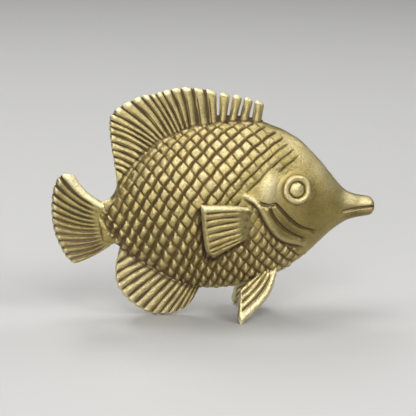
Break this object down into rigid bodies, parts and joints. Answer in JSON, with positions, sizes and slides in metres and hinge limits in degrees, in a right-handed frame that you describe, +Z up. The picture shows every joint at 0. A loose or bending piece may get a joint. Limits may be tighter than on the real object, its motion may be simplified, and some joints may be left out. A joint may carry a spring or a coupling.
{
  "type": "fish figurine",
  "caption": "Small cast brass ornament of a deep-bodied reef fish with a tube snout and rayed fins, standing on its anal fin and two splayed pelvic fins.",
  "frame": {"origin": "centre of the figurine's footprint, on the surface that it stands on", "axes": "+X from the tail to the snout, +Y to the fish's left, +Z up"},
  "size_m": [0.0501, 0.0152, 0.0356],
  "materials": {
    "aged_brass": "satin brass with dark patina in the recesses"
  },
  "bodies": {
    "root": {"body": "aged_brass", "dorsal_fin": "aged_brass", "tail_fin": "aged_brass", "anal_fin": "aged_brass", "right_pectoral_fin": "aged_brass", "left_pectoral_fin": "aged_brass", "right_pelvic_fin": "aged_brass", "left_pelvic_fin": "aged_brass", "right_eye_ring": "aged_brass", "left_eye_ring": "aged_brass", "right_pupil": "aged_brass", "left_pupil": "aged_brass"}
  },
  "joints": []
}
